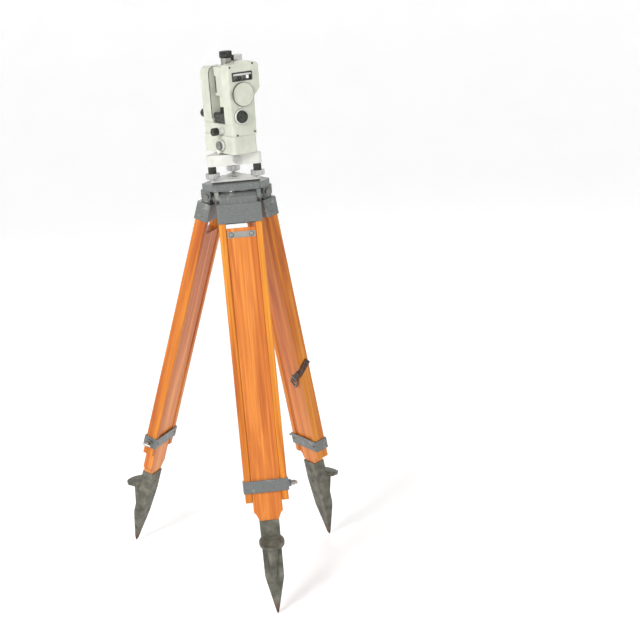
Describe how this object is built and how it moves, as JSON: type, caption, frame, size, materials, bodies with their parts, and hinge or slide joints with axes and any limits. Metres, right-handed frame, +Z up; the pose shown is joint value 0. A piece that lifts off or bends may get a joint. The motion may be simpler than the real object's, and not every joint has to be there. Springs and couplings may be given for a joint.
{
  "type": "optical theodolite on tripod",
  "caption": "Optical theodolite with tribrach on a wooden extending-leg tripod; it turns, tilts and levels to measure angles.",
  "frame": {"origin": "point on the ground under the instrument's vertical axis", "axes": "+Z up along the vertical axis, -Y towards the front leg"},
  "size_m": [0.5766, 0.5627, 1.344],
  "materials": {
    "casting_grey": "hammered enamel",
    "rail_wood": "varnished",
    "board_wood": "varnished",
    "bright_steel": "satin",
    "iron_shoe": "painted, rust at the tip",
    "leather_strap": "worn",
    "buckle_steel": "dull",
    "body_paint": "semi-gloss enamel",
    "tribrach_paint": "semi-gloss enamel",
    "black_knob": "knurled",
    "grey_knob": "knurled",
    "dark_metal": "satin",
    "chrome_part": "polished",
    "white_cap": "gloss",
    "glass_part": "clear",
    "mirror_part": "polished"
  },
  "bodies": {
    "stand": {"tripod_head": "casting_grey", "hinge_pins": "bright_steel", "screw_carrier": "casting_grey", "spring_plate": "dark_metal", "base_plate": "tribrach_paint", "tribrach": "tribrach_paint", "horizontal_circle": "glass_part"},
    "fixing_screw": {"fixing_screw": "bright_steel"},
    "leg_front": {"leg_casting_front": "casting_grey", "leg_rails_front": "rail_wood", "clamp_band_front": "casting_grey"},
    "slide_front": {"board_front": "board_wood", "board_plate_front": "bright_steel", "shoe_front": "iron_shoe"},
    "clamp_front": {"clamp_screw_front": "bright_steel"},
    "foot_1": {"foot_screw_1": "chrome_part"},
    "leg_right": {"leg_casting_right": "casting_grey", "leg_rails_right": "rail_wood", "clamp_band_right": "casting_grey", "leg_strap": "leather_strap", "strap_buckle": "buckle_steel"},
    "slide_right": {"board_right": "board_wood", "board_plate_right": "bright_steel", "shoe_right": "iron_shoe"},
    "clamp_right": {"clamp_screw_right": "bright_steel"},
    "foot_2": {"foot_screw_2": "chrome_part"},
    "leg_left": {"leg_casting_left": "casting_grey", "leg_rails_left": "rail_wood", "clamp_band_left": "casting_grey"},
    "slide_left": {"board_left": "board_wood", "board_plate_left": "bright_steel", "shoe_left": "iron_shoe"},
    "clamp_left": {"clamp_screw_left": "bright_steel"},
    "foot_3": {"foot_screw_3": "chrome_part"},
    "lock": {"lock_knob": "chrome_part"},
    "alidade": {"spindle": "bright_steel", "lower_housing": "body_paint", "circle_standard": "body_paint", "circle_cover": "body_paint", "cover_screws": "dark_metal", "clamp_standard": "body_paint", "knob_sleeves": "body_paint", "housing_cap": "white_cap", "level_housing": "dark_metal", "level_vials": "glass_part"},
    "tangent": {"tangent_knob": "black_knob"},
    "drive": {"drive_knob": "grey_knob"},
    "rear": {"rear_knob": "black_knob"},
    "micrometer": {"micrometer_knob": "black_knob"},
    "clamp": {"clamp_knob": "black_knob"},
    "mirror": {"mirror_ring": "body_paint", "mirror_flap": "body_paint", "mirror_glass": "mirror_part"},
    "telescope": {"telescope": "body_paint", "eyepiece_tube": "bright_steel", "optical_sight": "chrome_part", "telescope_lenses": "glass_part", "vertical_circle": "glass_part"},
    "focus": {"focus_ring": "black_knob"}
  },
  "joints": [
    {"name": "fixing_screw_turn", "type": "hinge", "parent": "stand", "child": "fixing_screw", "pos_m": [0, 0, 0.98], "axis": [0, 0, 1], "continuous": true},
    {"name": "leg_front_spread", "type": "hinge", "parent": "stand", "child": "leg_front", "pos_m": [0, -0.056, 0.995], "axis": [-1, 0, 0], "range_deg": [-15, 20]},
    {"name": "leg_front_extend", "type": "slide", "parent": "leg_front", "child": "slide_front", "axis": [0, -0.2588, -0.9659], "range_m": [-0.03064, 0.40936]},
    {"name": "leg_front_clamp_turn", "type": "hinge", "parent": "leg_front", "child": "clamp_front", "pos_m": [0.06, -0.24221, 0.30778], "axis": [1, 0, 0], "range_deg": [-180, 180]},
    {"name": "foot_screw_1_turn", "type": "hinge", "parent": "stand", "child": "foot_1", "pos_m": [0.05543, -0.032, 1.056], "axis": [0, 0, 1], "continuous": true},
    {"name": "leg_right_spread", "type": "hinge", "parent": "stand", "child": "leg_right", "pos_m": [0.0485, 0.028, 0.995], "axis": [0.5, -0.866, 0], "range_deg": [-8.5, 26.5]},
    {"name": "leg_right_extend", "type": "slide", "parent": "leg_right", "child": "slide_right", "axis": [0.128, 0.0739, -0.989], "range_m": [-0.00635, 0.43365]},
    {"name": "leg_right_clamp_turn", "type": "hinge", "parent": "leg_right", "child": "clamp_right", "pos_m": [0.11135, 0.13357, 0.29112], "axis": [-0.5, 0.866, 0], "range_deg": [-180, 180]},
    {"name": "foot_screw_2_turn", "type": "hinge", "parent": "stand", "child": "foot_2", "pos_m": [-0.05543, -0.032, 1.056], "axis": [0, 0, 1], "continuous": true},
    {"name": "leg_left_spread", "type": "hinge", "parent": "stand", "child": "leg_left", "pos_m": [-0.0485, 0.028, 0.995], "axis": [0.5, 0.866, 0], "range_deg": [-19.5, 15.5]},
    {"name": "leg_left_extend", "type": "slide", "parent": "leg_left", "child": "slide_left", "axis": [-0.2891, 0.1669, -0.9426], "range_m": [-0.05625, 0.38375]},
    {"name": "leg_left_clamp_turn", "type": "hinge", "parent": "leg_left", "child": "clamp_left", "pos_m": [-0.28596, 0.09582, 0.32451], "axis": [-0.5, -0.866, 0], "range_deg": [-180, 180]},
    {"name": "foot_screw_3_turn", "type": "hinge", "parent": "stand", "child": "foot_3", "pos_m": [0, 0.064, 1.056], "axis": [0, 0, 1], "continuous": true},
    {"name": "lock_turn", "type": "hinge", "parent": "stand", "child": "lock", "pos_m": [0.006, -0.045, 1.085], "axis": [0, -1, 0], "range_deg": [-60, 60]},
    {"name": "alidade_turn", "type": "hinge", "parent": "stand", "child": "alidade", "pos_m": [0, 0, 1.1], "axis": [0, 0, 1], "continuous": true},
    {"name": "tangent_knob_turn", "type": "hinge", "parent": "alidade", "child": "tangent", "pos_m": [-0.04099, -0.04218, 1.156], "axis": [-0.8829, -0.4695, 0], "continuous": true},
    {"name": "drive_knob_turn", "type": "hinge", "parent": "alidade", "child": "drive", "pos_m": [-0.03081, -0.0379, 1.121], "axis": [-0.8829, -0.4695, 0], "continuous": true},
    {"name": "rear_knob_turn", "type": "hinge", "parent": "alidade", "child": "rear", "pos_m": [-0.0151, 0.01349, 1.197], "axis": [0, 0, 1], "continuous": true},
    {"name": "micrometer_turn", "type": "hinge", "parent": "alidade", "child": "micrometer", "pos_m": [0.02685, -0.0718, 1.191], "axis": [0.4695, -0.8829, 0], "continuous": true},
    {"name": "clamp_knob_turn", "type": "hinge", "parent": "alidade", "child": "clamp", "pos_m": [-0.05522, 0.06125, 1.191], "axis": [-0.4695, 0.8829, 0], "range_deg": [-90, 90]},
    {"name": "mirror_open", "type": "hinge", "parent": "alidade", "child": "mirror", "pos_m": [0.00943, -0.08163, 1.2435], "axis": [0, 0, -1], "range_deg": [0, 100]},
    {"name": "telescope_tilt", "type": "hinge", "parent": "alidade", "child": "telescope", "pos_m": [0, 0, 1.274], "axis": [-0.4695, 0.8829, 0], "continuous": true},
    {"name": "focus_turn", "type": "hinge", "parent": "telescope", "child": "focus", "pos_m": [0.00235, -0.00441, 1.336], "axis": [0, 0, 1], "range_deg": [-150, 150]}
  ]
}
